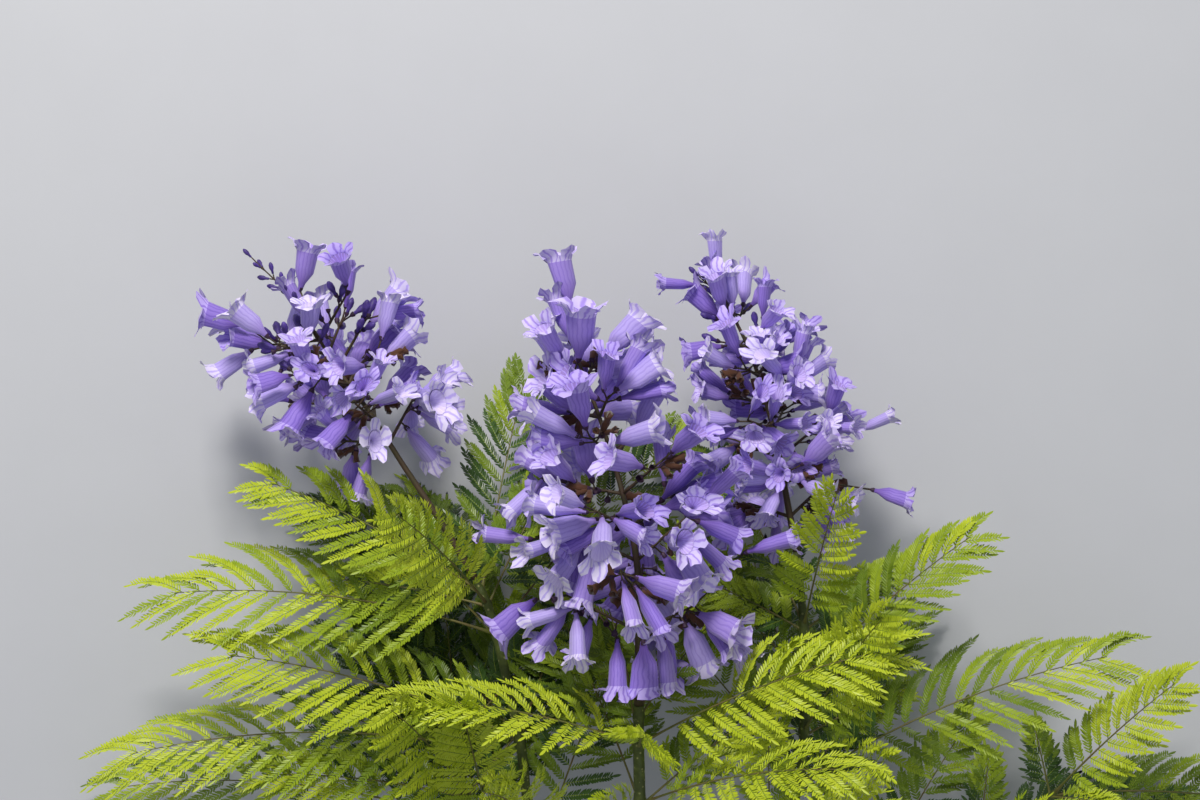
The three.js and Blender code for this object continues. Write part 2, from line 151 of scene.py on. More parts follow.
# %% Panicles
PANICLES = {
    "panicle_centre": {
        "seed": 15, "radii": (3.5, 1.2), "tiers": 8, "bare": 0.18, "reach": (92, 8), "rise": (-1.9, 1.3),
        "bells": 1.1, "young": 0, "fallen": 0.17, "withered": 0.14, "spray": [],
        "route": [
            (-1, 72, 162), (-1, 122, 172), (-2, 174, 176), (-11, 222, 176), (-27, 277, 171), (-48, 334, 164),
        ],
        "lone": [
            ((-52, 370, 165), (-0.18, 1, 0)), ((-71, 242, 168), (-0.7, -0.7, 0.1)),
            ((-81, 196, 165), (-1, 0.1, 0)), ((-78, 151, 165), (-0.8, -0.6, 0)),
            ((-17, 122, 178), (0, -1, 0)), ((2, 121, 188), (0.1, -1, -0.1)), ((17, 124, 178), (0.1, -1, 0)),
            ((78, 186, 166), (1, 0.3, 0.1)), ((54, 134, 166), (0.7, -0.7, 0)),
        ],
    },
    "panicle_left": {
        "seed": 121, "radii": (2.8, 1.1), "tiers": 7, "bare": 0.45, "reach": (66, 40), "rise": (-0.6, 0.7),
        "bells": 0.96, "young": 0.6, "fallen": 0.08, "withered": 0.12,
        "spray": [(-243, 344, 120), (-262, 376, 119), (-291, 405, 117)],
        "route": [
            (-124, 165, 130), (-150, 208, 130), (-178, 250, 128), (-205, 292, 125), (-229, 324, 122),
            (-246, 352, 119),
        ],
        "lone": [
            ((-257, 383, 120), (0.27, 1, 0.1)), ((-299, 357, 120), (-1, 0.2, 0)),
            ((-293, 338, 120), (-0.8, -0.6, 0)),
        ],
    },
    "panicle_right": {
        "seed": 141, "radii": (2.8, 1.1), "tiers": 8, "bare": 0.1, "reach": (61, 7), "rise": (-0.7, 1.1),
        "bells": 0.84, "young": 0.35, "fallen": 0.11, "withered": 0.14,
        "spray": [(72, 362, 111), (62, 378, 113), (48, 391, 113)],
        "route": [
            (119, 185, 118), (112, 222, 117), (105, 262, 116), (96, 298, 114), (84, 336, 112), (68, 370, 110),
        ],
        "lone": [
            ((58, 395, 112), (0, 1, 0.1)), ((46, 387, 112), (-1, 0.05, 0)), ((164, 276, 112), (0.9, 0.4, 0)),
            ((176, 232, 112), (1, -0.25, 0)),
        ],
    },
}
BRANCH_ANGLE = 64
TIER_TURN = 97
FIRST_TIER = 0.4
TURN_CHANCE, ANGLE_CHANCE = 36, 16
SHORTEST, LENGTH_CHANCE = 0.8, 0.4  # a branch's least length and what chance adds, as shares of the rule's
LOWEST_BRANCH, BRANCH_GAIN = 0.68, 1.6  # of the length that its place would give it
print("tiers of branches:", {name: plan["tiers"] for name, plan in PANICLES.items()})

# %% [markdown]
# ## Chance and curves
#
# Nature's unevenness comes from a small number generator with a fixed seed, so every run grows the same
# branch. Routes are smoothed by a Catmull-Rom curve, which passes through each of its points.

# %% Chance and curves
def seeded(seed):
    state = seed

    def draw():
        nonlocal state
        state = (state * 1664525 + 1013904223) & 0xFFFFFFFF
        return state / 4294967296

    return draw


def lerp(start, end, share):
    return start + (end - start) * share


def point_at(route, share):
    knots = [Vector(point) for point in route]
    last = len(knots) - 1
    number = min(int(last * share), last - 1)
    weight = last * share - number
    start, end = knots[number], knots[number + 1]
    before = knots[number - 1] if number > 0 else 2 * start - end
    after = knots[number + 2] if number + 2 <= last else 2 * end - start
    leaving = (end - before) / 2
    arriving = (after - start) / 2
    square = weight * weight
    cube = square * weight
    return (
        start * (2 * cube - 3 * square + 1)
        + end * (3 * square - 2 * cube)
        + leaving * (cube - 2 * square + weight)
        + arriving * (cube - square)
    )


def heading_at(route, share):
    step = 0.0001
    return (point_at(route, min(share + step, 1)) - point_at(route, max(share - step, 0))).normalized()


def frame_along(direction):
    across = direction.cross(UP_SIDE).normalized()
    return across, across.cross(direction)


tip_of_centre = point_at(PANICLES["panicle_centre"]["route"], 1)
print("the middle panicle's axis ends at", [round(value) for value in tip_of_centre])

# %% [markdown]
# ## Many small things in one mesh
#
# A branch like this has tens of thousands of leaflets. One object for each would choke Blender, so a small
# shape is modelled once and then stamped: its points are copied by array arithmetic to all its places, and the
# copies are joined into one mesh. A shape is kept as plain arrays of points, faces, materials and flat
# coordinates for the petals' veins.

# %% Stamp and join
class Batch:
    """Points and faces of many small shapes that will become one mesh."""

    def __init__(self):
        self.points, self.loops, self.sizes, self.slots, self.flats = [], [], [], [], []
        self.count = 0

    def add(self, points, loops, sizes, slots, flats=None):
        self.points.append(points)
        self.loops.append(loops + self.count)
        self.sizes.append(sizes)
        self.slots.append(slots)
        self.flats.append(np.zeros((len(loops), 2)) if flats is None else flats)
        self.count += len(points)


def unit_rows(ways):
    return ways / np.linalg.norm(ways, axis=-1, keepdims=True)


def shown(name, data):
    thing = bpy.data.objects.new(name, data)
    bpy.context.scene.collection.objects.link(thing)
    return thing


def template_of(bm):
    """The arrays of a modelled shape: points, corner numbers, corners a face, slots and flat coordinates."""
    bm.verts.index_update()
    layer = bm.loops.layers.uv.active
    corners = [loop for face in bm.faces for loop in face.loops]
    flats = [loop[layer].uv[:] for loop in corners] if layer else np.zeros((len(corners), 2))
    arrays = (
        np.array([vert.co[:] for vert in bm.verts]),
        np.array([loop.vert.index for loop in corners]),
        np.array([len(face.verts) for face in bm.faces]),
        np.array([face.material_index for face in bm.faces]),
        np.array(flats, dtype=float),
    )
    bm.free()
    return arrays


def stamp(batch, template, origins, axes, tints=None):
    """Copy a shape to many places. axes holds three directions a place, each with its own scale, and tints a
    number to add to the shape's own material slots."""
    points, loops, sizes, own_slots, flats = template
    placed = np.einsum("pk,nkj->npj", points, axes) + origins[:, None, :]
    number = len(origins)
    shifts = np.repeat(np.arange(number) * len(points), len(loops))
    dealt = np.tile(own_slots, number)
    if tints is not None:
        dealt = dealt + np.repeat(tints, len(sizes))
    batch.add(
        placed.reshape(-1, 3), np.tile(loops, number) + shifts, np.tile(sizes, number), dealt,
        np.tile(flats, (number, 1)),
    )


def piece_from(name, batch, materials, nodes, smooth=True):
    """One object from a batch, riding in place of its solids."""
    points = (np.concatenate(batch.points) - np.array(MIDDLE)) * MM
    points[:, 2] = np.maximum(points[:, 2], 0)
    loops = np.concatenate(batch.loops)
    sizes = np.concatenate(batch.sizes)
    mesh = bpy.data.meshes.new(name)
    mesh.vertices.add(len(points))
    mesh.vertices.foreach_set("co", points.reshape(-1))
    mesh.loops.add(len(loops))
    mesh.loops.foreach_set("vertex_index", loops)
    mesh.polygons.add(len(sizes))
    mesh.polygons.foreach_set("loop_start", np.concatenate([[0], np.cumsum(sizes)[:-1]]))
    mesh.polygons.foreach_set("material_index", np.concatenate(batch.slots))
    mesh.polygons.foreach_set("use_smooth", np.full(len(sizes), smooth))
    layer = mesh.uv_layers.new(name="flat")
    layer.data.foreach_set("uv", np.concatenate(batch.flats).reshape(-1))
    for material in materials:
        mesh.materials.append(material)
    mesh.update(calc_edges=True)
    mesh.validate()
    piece = shown(name, mesh)
    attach(piece, "root")
    if nodes:
        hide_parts(*nodes)
    print(name, "triangles:", int((sizes - 2).sum()))
    return piece


print("points in an empty batch:", Batch().count)

# %% [markdown]
# ## Materials
#
# Colours are written as the hex values that a paint program shows, and one function turns them to the linear
# values that light works with. Another adds a node with its settings and links, so that each material reads
# as a short recipe.

# %% Material helpers
WAVE_TURNS = 20 / math.tau  # how many bands a wave texture of scale 1 puts on one unit of length


def linear(hex_colour):
    parts = [int(hex_colour[i:i + 2], 16) / 255 for i in (1, 3, 5)]
    return [c / 12.92 if c <= 0.04045 else ((c + 0.055) / 1.055) ** 2.4 for c in parts] + [1]


def add_node(tree, kind, settings=None, links=None):
    node = tree.nodes.new(kind)
    for key, value in (settings or {}).items():
        if hasattr(node, key):
            setattr(node, key, value)
        else:
            node.inputs[key].default_value = value
    for key, source in (links or {}).items():
        tree.links.new(source, node.inputs[key])
    return node


def new_material(name, settings):
    material = bpy.data.materials.new(name)
    material.use_nodes = True
    tree = material.node_tree
    surface = tree.nodes["Principled BSDF"]
    for key, value in settings.items():
        surface.inputs[key].default_value = value
    return material, tree, surface


def noise_on(tree, grain, detail, roughness=0.5):
    """Mottled noise through the whole object, with blotches about grain millimetres wide."""
    place = add_node(tree, "ShaderNodeTexCoord").outputs["Object"]
    settings = {"Scale": 1 / (grain * MM), "Detail": detail, "Roughness": roughness}
    return add_node(tree, "ShaderNodeTexNoise", settings, {"Vector": place}).outputs["Fac"]


def bump_from(tree, surface, height, strength, depth):
    """Let a pattern stand out by depth millimetres."""
    bump = add_node(tree, "ShaderNodeBump", {"Strength": strength, "Distance": depth * MM}, {"Height": height})
    tree.links.new(bump.outputs["Normal"], surface.inputs["Normal"])


def colour_ramp(tree, stops, source):
    ramp = add_node(tree, "ShaderNodeValToRGB", links={"Fac": source})
    while len(ramp.color_ramp.elements) < len(stops):
        ramp.color_ramp.elements.new(0.5)
    for element, (place, hex_colour) in zip(ramp.color_ramp.elements, stops):
        element.position = place
        element.color = linear(hex_colour)
    return ramp.outputs["Color"]


print("a half bright grey in linear light:", round(linear("#808080")[0], 3))

# %% [markdown]
# Young jacaranda bark is thin and grey-brown over green, with pale raised pores a millimetre or two long.
# Noise gives the cork's streaks, and sharp Voronoi cells the pores.

# %% Bark and green stem
def bark_material(name, stops, pore, pore_colour, roughness):
    material, tree, surface = new_material(name, {"Roughness": roughness, "IOR": 1.45})
    streaks = noise_on(tree, 9, 6, 0.65)
    place = add_node(tree, "ShaderNodeTexCoord").outputs["Object"]
    pores = add_node(
        tree, "ShaderNodeTexVoronoi", {"Scale": 1 / (pore * MM), "Randomness": 1}, {"Vector": place}
    ).outputs["Distance"]
    spots = add_node(
        tree, "ShaderNodeMapRange", {"From Min": 0.12, "From Max": 0.24, "To Min": 1, "To Max": 0},
        {"Value": pores},
    ).outputs["Result"]
    base = colour_ramp(tree, stops, streaks)
    mix = add_node(
        tree, "ShaderNodeMix", {"data_type": "RGBA", "B": linear(pore_colour)}, {"Factor": spots}
    )
    tree.links.new(base, mix.inputs["A"])
    tree.links.new(mix.outputs["Result"], surface.inputs["Base Color"])
    relief = add_node(tree, "ShaderNodeMath", {"operation": "ADD"}, {0: streaks, 1: spots}).outputs["Value"]
    bump_from(tree, surface, relief, 0.5, 0.4)
    return material


BARK = bark_material(
    "grey brown bark", [(0.3, "#4a4130"), (0.55, "#6e6349"), (0.75, "#857a5c")], 3.2, "#a89a78", 0.85
)
GREEN_STEM = bark_material(
    "green shoot skin", [(0.3, "#2f3a12"), (0.55, "#4a5620"), (0.75, "#66722f")], 4.5, "#8c8f58", 0.55
)


def sawn_material(name, ring_width, stops, roughness):
    """Growth rings round the foot's middle, which the saw has left a little rough."""
    material, tree, surface = new_material(name, {"Roughness": roughness, "IOR": 1.4})
    foot = (Vector(LIMBS["main_branch"]["route"][0]) - MIDDLE) * MM
    place = add_node(tree, "ShaderNodeTexCoord").outputs["Object"]
    centred = add_node(tree, "ShaderNodeVectorMath", {"operation": "SUBTRACT"}, {0: place})
    centred.inputs[1].default_value = foot
    rings = add_node(
        tree, "ShaderNodeTexWave",
        {
            "wave_type": "RINGS", "rings_direction": "Y", "Scale": 1 / (ring_width * MM) / WAVE_TURNS,
            "Distortion": 1.5, "Detail": 3,
        },
        {"Vector": centred.outputs["Vector"]},
    ).outputs["Fac"]
    tree.links.new(colour_ramp(tree, stops, rings), surface.inputs["Base Color"])
    bump_from(tree, surface, rings, 0.3, 0.2)
    return material


CUT_WOOD = sawn_material("cut sapwood", 1.6, [(0.2, "#c9b384"), (0.8, "#dccb9f")], 0.8)
PITH = sawn_material("pith", 0.9, [(0.3, "#e4d9ba"), (0.7, "#f0e8d0")], 0.9)
print("stem materials:", [material.name for material in (BARK, GREEN_STEM, CUT_WOOD, PITH)])


# %% [markdown]
# ## Rods
#
# Stems, leaf stalks and flower stalks are all bent, tapering rods. Curve objects with a bevel could make them,
# but there are thousands. So one straight tube of unit radius is extruded ring by ring, its height counting
# stations, and each rod is that tube with its rings moved onto a centre line and scaled to its thickness.

# %% Rods
def tube_template(sides, stations):
    bm = bmesh.new()
    bmesh.ops.create_circle(bm, segments=sides, radius=1, cap_ends=False)
    rim = bm.edges[:]
    bmesh.ops.edgeloop_fill(bm, edges=rim)
    for _ in range(stations - 1):
        grown = bmesh.ops.extrude_edge_only(bm, edges=rim)["geom"]
        raised = [part for part in grown if isinstance(part, bmesh.types.BMVert)]
        bmesh.ops.translate(bm, verts=raised, vec=(0, 0, 1))
        rim = [part for part in grown if isinstance(part, bmesh.types.BMEdge)]
    bmesh.ops.edgeloop_fill(bm, edges=rim)
    bmesh.ops.recalc_face_normals(bm, faces=bm.faces[:])
    return template_of(bm)


def rods(batch, centres, radii, sides, slot=0):
    """Bend one tube along each row of centres. Both arrays hold a row a rod and a column a station."""
    points, loops, sizes, _, _ = tube_template(sides, centres.shape[1])
    along = np.gradient(centres, axis=1)
    along /= np.linalg.norm(along, axis=2, keepdims=True) + 1e-9
    helper = np.where(np.abs(along[..., 2:]) > 0.9, [[[1.0, 0, 0]]], [[[0, 0, 1.0]]])
    across = unit_rows(np.cross(along, helper))
    upper = np.cross(across, along)
    station = np.round(points[:, 2]).astype(int)
    ring = points[None, :, :1] * across[:, station] - points[None, :, 1:2] * upper[:, station]
    placed = centres[:, station] + ring * radii[:, station, None]
    number = len(centres)
    corners = np.tile(loops, number) + np.repeat(np.arange(number) * len(points), len(loops))
    batch.add(placed.reshape(-1, 3), corners, np.tile(sizes, number), np.full(number * len(sizes), slot))


print("a three-sided rod with 7 stations has", len(tube_template(3, 7)[2]), "faces")

# %% [markdown]
# ## Stems
#
# The main branch has thin grey-brown bark, and its shoots are still green. Each is a tube of many rings whose
# radius tapers from foot to tip, swells where a pair of leaves sits, and is roughened by noise. The thickest
# one ends in a sawn face with its bark, pale wood and pith.

# %% Stem surface
def stem_relief(points, height, grain):
    """How far the bark stands out at each point, in millimetres."""
    found = [noise.fractal(Vector((x, y * 0.45, z)) / grain, 0.9, 2.1, 4) for x, y, z in points]
    return np.array(found) * height


COLLAR_REACH, COLLAR_SWELLING = 9, 0.3
NODE_REACH, NODE_SWELLING = 5, 0.22
BUD_AT_END = ([0, 2, 5, 8], [0.12, 0.5, 0.85, 1])  # millimetres from the tip, and the radius left there
PANICLE_FEET = [plan["route"][0] for plan in PANICLES.values()] + [LIMBS["main_branch"]["route"][-1]]


def stem_points(limb, stations):
    """Centre line and radii of a limb, swollen at each pair of leaves and in the collar at its fork. A limb that
    carries nothing more ends in a pointed bud."""
    shares = np.linspace(0, 1, stations)
    centres = np.array([point_at(limb["route"], share)[:] for share in shares])
    radii = lerp(limb["radii"][0], limb["radii"][1], shares)
    reach = np.linalg.norm(centres[-1] - centres[0])
    for pair in limb["pairs"]:
        radii = radii * (1 + NODE_SWELLING * np.exp(-(((shares - pair["at"]) * reach / NODE_REACH) ** 2)))
    collar_at = 0 if limb["pairs"] else 1
    radii = radii * (1 + COLLAR_SWELLING * np.exp(-(((shares - collar_at) * reach / COLLAR_REACH) ** 2)))
    if limb["route"][-1] not in PANICLE_FEET:
        radii = radii * np.interp((1 - shares) * reach, *BUD_AT_END)
    return centres, radii


def roughen(batch, centres, height, grain):
    """Move a stem's points out from its centre line by the relief."""
    points = batch.points[-1]
    nearest = np.array([np.argmin(((centres - point) ** 2).sum(axis=1)) for point in points])
    out = points - centres[nearest]
    out /= np.linalg.norm(out, axis=1, keepdims=True) + 1e-9
    batch.points[-1] = points + out * stem_relief(points, height, grain)[:, None]


def stem_piece(name, limb, sides, stations, height, grain, material):
    batch = Batch()
    centres, radii = stem_points(limb, stations)
    rods(batch, centres[None], radii[None], sides)
    roughen(batch, centres, height, grain)
    return piece_from(f"{name}_skin", batch, [material, CUT_WOOD, PITH], [name])


for name, limb in LIMBS.items():
    if name == "main_branch":
        main_stem = stem_piece(name, limb, 36, 120, 0.55, 5, BARK)
    else:
        stem_piece(name, limb, 20, 90, 0.22, 4, GREEN_STEM)

# %% [markdown]
# The saw left a flat face at the foot. Two insets of the end face part it into bark, wood and pith, and each
# ring gets its own material.

# %% Sawn face
bm = bmesh.new()
bm.from_mesh(main_stem.data)
sawn = min(bm.faces, key=lambda face: face.calc_center_median().y)
BARK_WIDTH, WOOD_WIDTH = 1.1, 5.6
for width, look in ((BARK_WIDTH, 1), (WOOD_WIDTH, 2)):
    bmesh.ops.inset_region(bm, faces=[sawn], thickness=width * MM, depth=0)
    sawn.material_index = look
    if look == 2:
        for edge in sawn.edges:
            for face in edge.link_faces:
                if face != sawn:
                    face.material_index = 1
bm.to_mesh(main_stem.data)
bm.free()
print("main branch faces:", len(main_stem.data.polygons))

# %% [markdown]
# ## The bell
#
# A jacaranda flower is a corolla of fused petals: a narrow base that sits in a small cup, a tube that swells
# and bends a little, and five ruffled, rounded lobes around the mouth. The tube is a spun profile. Beyond its rim
# the spin's segments are gathered in threes, so that each lobe has two edges and a middle, and the faces in the
# gaps between lobes are deleted. Lobes turn back unevenly, as thin petals do. A second, paler funnel inside is
# the throat. The spin leaves the tube inside out and the throat facing outwards, so all faces are reversed. There
# are hundreds of bells, so each has few faces, and four different ones are enough.

# %% Bell shape
BELL_LENGTH = 42
BELL_STEPS = 15
BELL_WIDTH, BELL_DEPTH, BELL_BEND = 1.16, 0.86, 4
BELL_RINGS = [(1.5, 0), (2.5, 6), (6.6, 15), (7.7, 31)]
LOBE_RINGS = [(9.2, 34.6), (12.2, 37.6), (14, 39.6)]
LOBE_PARTS = ((4, 36, 68), (7, 36, 65), (20, 36, 52))  # degrees from one lobe's edge to the other, on each ring
LOBE_TURNS = (0.3, 1, 1.7)  # how far each ring turns back, as a share of its lobe's flare
LOBE_CROWNS = (0.3, 1.2, 0.9)  # how much farther out a lobe's middle is than its edges
THROAT_RINGS = [(7.4, 31.5), (0.4, 18)]
TUBE, LOBE, THROAT = 0, 1, 2


def spun(bm, profile, steps, look=0):
    """A profile of radii and heights, turned once round its axis."""
    verts = [bm.verts.new((radius, 0, height)) for radius, height in profile]
    edges = [bm.edges.new(pair) for pair in zip(verts, verts[1:])]
    before = set(bm.faces)
    bmesh.ops.spin(
        bm, geom=verts + edges, cent=(0, 0, 0), axis=(0, 0, 1), angle=math.tau, steps=steps, use_merge=True
    )
    for face in set(bm.faces) - before:
        face.material_index = look


def bell_template(seed, flare, ruffle):
    """A bell whose lobes turn back by flare millimetres, each by its own share, with an uneven edge."""
    random = seeded(seed)
    bm = bmesh.new()
    spun(bm, BELL_RINGS + LOBE_RINGS, BELL_STEPS, TUBE)
    spun(bm, THROAT_RINGS, BELL_STEPS, THROAT)
    bmesh.ops.reverse_faces(bm, faces=bm.faces[:])
    flat = bm.loops.layers.uv.new("flat")
    rim = BELL_RINGS[-1][1]
    doomed = []
    for face in bm.faces:
        centre = face.calc_center_median()
        step = int(math.atan2(centre.y, centre.x) / math.tau * BELL_STEPS % BELL_STEPS)
        for loop in face.loops:
            spot = loop.vert.co
            turn = (math.atan2(spot.y, spot.x) / math.tau) % 1
            if step == BELL_STEPS - 1 and turn < 0.5:
                turn += 1
            loop[flat].uv = (turn, spot.z / BELL_LENGTH)
        if centre.z > rim + 0.6 and face.material_index == TUBE:
            face.material_index = LOBE
            if step % 3 == 2 and centre.z > LOBE_RINGS[0][1]:
                doomed.append(face)
    bmesh.ops.delete(bm, geom=doomed, context="FACES")
    flares = [flare * (random() - 0.25) for _ in range(5)]
    for vert in bm.verts:
        radius = math.hypot(vert.co.x, vert.co.y)
        place = round(math.atan2(vert.co.y, vert.co.x) / math.tau * BELL_STEPS) % BELL_STEPS
        lobe, part = divmod(place, 3)
        share = vert.co.z / BELL_LENGTH
        turn = math.tau * place / BELL_STEPS
        height = vert.co.z
        if height > rim + 1:
            ring = min(range(3), key=lambda number: abs(LOBE_RINGS[number][1] - height))
            turn = math.radians(72 * lobe + LOBE_PARTS[ring][part])
            turned_back = flares[lobe] * LOBE_TURNS[ring]
            crown = LOBE_CROWNS[ring] if part == 1 else 0
            radius += turned_back * 0.8 + ruffle * (random() - 0.5) + crown
            height += 1.4 * ruffle * (random() - 0.5) - turned_back + crown
        bend = BELL_BEND * share * share
        vert.co = (radius * math.cos(turn) * BELL_WIDTH + bend, radius * math.sin(turn) * BELL_DEPTH, height)
    return template_of(bm)


BELLS = [bell_template(5, 1, 2), bell_template(6, 3, 2.4), bell_template(7, 5, 1.6), bell_template(8, 2, 3.2)]
print("faces in one bell:", len(BELLS[0][2]))

# %% [markdown]
# Each bell sits in a calyx, a small dark cup. An unopened bell is a dark violet club, and a dead one is brown and
# crumpled. All three are spun profiles too.

# %% Calyx and bud
def spun_shape(profile, steps):
    bm = bmesh.new()
    spun(bm, profile, steps)
    bmesh.ops.remove_doubles(bm, verts=bm.verts, dist=0.001)
    bmesh.ops.recalc_face_normals(bm, faces=bm.faces[:])
    return template_of(bm)


def crumpled(template, amount, seed):
    """A shape whose points have each moved a little, as a dead petal shrinks unevenly."""
    random = seeded(seed)
    points = template[0] + amount * np.array([[random() - 0.5 for _ in range(3)] for _ in template[0]])
    return (points, *template[1:])


CALYX = spun_shape([(0.7, -1.6), (1.5, -0.6), (2.1, 0.8), (2.3, 2.4)], 6)
BUD = spun_shape([(0, 0), (1.5, 1.5), (1.7, 5), (3.1, 9), (3.0, 13), (1.4, 16), (0, 16.8)], 7)
DEAD_BELL = crumpled(
    spun_shape([(1.2, 0), (3.4, 4), (4.4, 9), (3.2, 13), (5.6, 17), (2.2, 15), (0, 11)], 9), 3.8, 21
)
DEAD_SQUASH = (0.8, 0.6)
# Dead bells hang on in threes: the size of each, and the way it leans.
DEAD_CLUSTER = ((0.95, (0, 0, 0)), (0.75, (0.9, -0.5, 0.4)), (0.65, (-0.7, -0.6, 0.5)))
print("faces in a calyx, a bud and a dead bell:", len(CALYX[2]), len(BUD[2]), len(DEAD_BELL[2]))

# %% [markdown]
# ## Petal finishes
#
# Jacaranda petals are lavender to violet, matt, with a very fine bloom of hairs outside and darker veins that
# run along the tube. It is deepest at its foot, and the throat is paler than the tube. The lobes are painted
# almost white, partly their own paler colour and partly painted sunlight. The veins are a wave along the flat
# coordinate that goes round the bell, and the foot's colour follows the other one, which runs along it. Bells
# open over weeks, so there are three tints, the youngest deepest, and every bell gets one.

# %% Petal finishes
def petal_material(name, base, vein, foot, veins, roughness):
    """Veins run along the bell. Towards its foot, where it leaves the calyx, it turns to the foot colour."""
    material, tree, surface = new_material(name, {"Roughness": roughness, "IOR": 1.4, "Sheen Weight": 0.25})
    flat = add_node(tree, "ShaderNodeUVMap", {"uv_map": "flat"}).outputs["UV"]
    stripes = add_node(
        tree, "ShaderNodeTexWave", {"Scale": veins / WAVE_TURNS, "Distortion": 4.5, "Detail": 3},
        {"Vector": flat},
    ).outputs["Fac"]
    mottle = noise_on(tree, 14, 3)
    both = add_node(tree, "ShaderNodeMath", {"operation": "MULTIPLY"}, {0: stripes, 1: mottle}).outputs["Value"]
    veined = colour_ramp(tree, [(0.02, vein), (0.2, base)], both)
    height = add_node(tree, "ShaderNodeSeparateXYZ", links={"Vector": flat}).outputs["Y"]
    near_foot = add_node(
        tree, "ShaderNodeMapRange", {"From Min": 0.1, "From Max": 0.45, "To Min": 0.8, "To Max": 0},
        {"Value": height},
    ).outputs["Result"]
    mix = add_node(tree, "ShaderNodeMix", {"data_type": "RGBA"}, {"Factor": near_foot})
    mix.inputs[7].default_value = linear(foot)
    tree.links.new(veined, mix.inputs[6])
    tree.links.new(mix.outputs[2], surface.inputs["Base Color"])
    bump_from(tree, surface, stripes, 0.16, 0.4)
    return material


PETALS = []
for age, tube, vein, foot, lobe, throat in (
    ("young", "#967cdc", "#8268cc", "#6a4aa8", "#c2b0f8", "#a890d4"),
    ("open", "#ac94ea", "#9a82de", "#7c5eba", "#d8ccfe", "#c2aee8"),
    ("old", "#c0b0f6", "#ae9cea", "#9076c8", "#e6deff", "#dacef8"),
):
    PETALS.append(petal_material(f"{age} petal tube", tube, vein, foot, 16, 0.6))
    # Painted sunlight: the lobes' near-white is partly their own paler colour and partly painted light.
    PETALS.append(petal_material(f"{age} pale petal lobe with painted sunlight", lobe, tube, lobe, 16, 0.55))
    PETALS.append(petal_material(f"{age} petal throat", throat, lobe, foot, 16, 0.6))
WITHERED = petal_material("withered petal", "#8a5634", "#3c2418", "#5a3824", 15, 0.8)


def plant_skin(name, stops, grain, roughness):
    material, tree, surface = new_material(name, {"Roughness": roughness, "IOR": 1.45})
    mottle = noise_on(tree, grain, 4, 0.6)
    tree.links.new(colour_ramp(tree, stops, mottle), surface.inputs["Base Color"])
    bump_from(tree, surface, mottle, 0.25, 0.2)
    return material


FLOWER_STALK = plant_skin("flower stalk skin", [(0.35, "#3d3a1c"), (0.6, "#4c3a2a"), (0.8, "#5a4a38")], 12, 0.6)
CALYX_SKIN = plant_skin("calyx skin", [(0.3, "#2c1e33"), (0.7, "#4a2f48")], 3, 0.55)
BUD_SKIN = plant_skin("bud skin", [(0.3, "#33235e"), (0.7, "#5b45a0")], 6, 0.5)
print("petal finishes:", len(PETALS))

# %% [markdown]
# ## Where the bells hang
#
# A panicle's main axis bears opposite branches in tiers, each tier turned from the one below. The branches
# follow the drawing's rule and draw their chances in the same order, so they stand where the solids have them.
# A branch is kept as its foot, its direction and the way that its bells tend to look.

# %% Panicle branches
def panicle_branches(plan):
    random = seeded(plan["seed"])
    found = []
    for tier in range(plan["tiers"]):
        share = lerp(plan["bare"], 1, (tier + FIRST_TIER) / plan["tiers"])
        tip = heading_at(plan["route"], share)
        across, upper = frame_along(tip)
        for half in (0, 180):
            turn = math.radians(TIER_TURN * tier + half + TURN_CHANCE * (random() - 0.5))
            outward = across * math.cos(turn) + upper * math.sin(turn)
            angle = math.radians(BRANCH_ANGLE + ANGLE_CHANCE * (random() - 0.5))
            heading = tip * math.cos(angle) + outward * math.sin(angle)
            length = lerp(*plan["reach"], share) * (SHORTEST + LENGTH_CHANCE * random())
            length *= min(1, LOWEST_BRANCH + BRANCH_GAIN * (share - plan["bare"]))
            rise = lerp(*plan["rise"], share)
            root = point_at(plan["route"], share)
            found.append(
                {
                    "root": root, "heading": heading, "outward": outward, "tip": tip, "length": length,
                    "rise": rise, "share": share,
                }
            )
    return found


print("branches on the middle panicle:", len(panicle_branches(PANICLES["panicle_centre"])))

# %% [markdown]
# Each branch has a bell at its tip and opposite bells behind it. Real bells push each other aside as they open.
# Moving them all until nothing touches would take long, so each new bell is tried at several angles, and the
# place with the most room is taken. Where none has room, there is no bell.

# %% Bells on a branch
STALK_LENGTH = 9
STALK_RADII = (0.75, 0.65, 0.65, 0.8)
TWIG_RADII = (1.5, 0.8)
BELLS_AT = (1, 0.86, 0.72, 0.58, 0.44, 0.3)
MOUTH_ROOM = 19
TUBE_ROOM = 12.5
TUBE_MIDDLE = 0.55  # of the bell's length
BELL_TRIES = 9
BELL_WANDER = 1.7
BELL_FLANK = 1.3
FLATTENING = 0.45  # a mouth's tilt towards the upper side, as a share of what its branch would give it


def bell_choices(branch, at, side, random):
    """Several ways to hang a bell at a share of a branch."""
    flank = branch["heading"].cross(branch["tip"]).normalized()
    root = branch["root"] + branch["heading"] * branch["length"] * at
    for _ in range(BELL_TRIES):
        wander = Vector((random() - 0.5, random() - 0.5, random() - 0.5)) * BELL_WANDER
        mouth = branch["outward"] + flank * side - TO_FOOT * branch["rise"] + wander
        mouth.z *= FLATTENING
        mouth.normalize()
        off = (flank * side + branch["outward"] * 0.4 + mouth).normalized()
        yield root, root + (off + mouth * 0.6).normalized() * STALK_LENGTH * (0.8 + 0.5 * random()), mouth


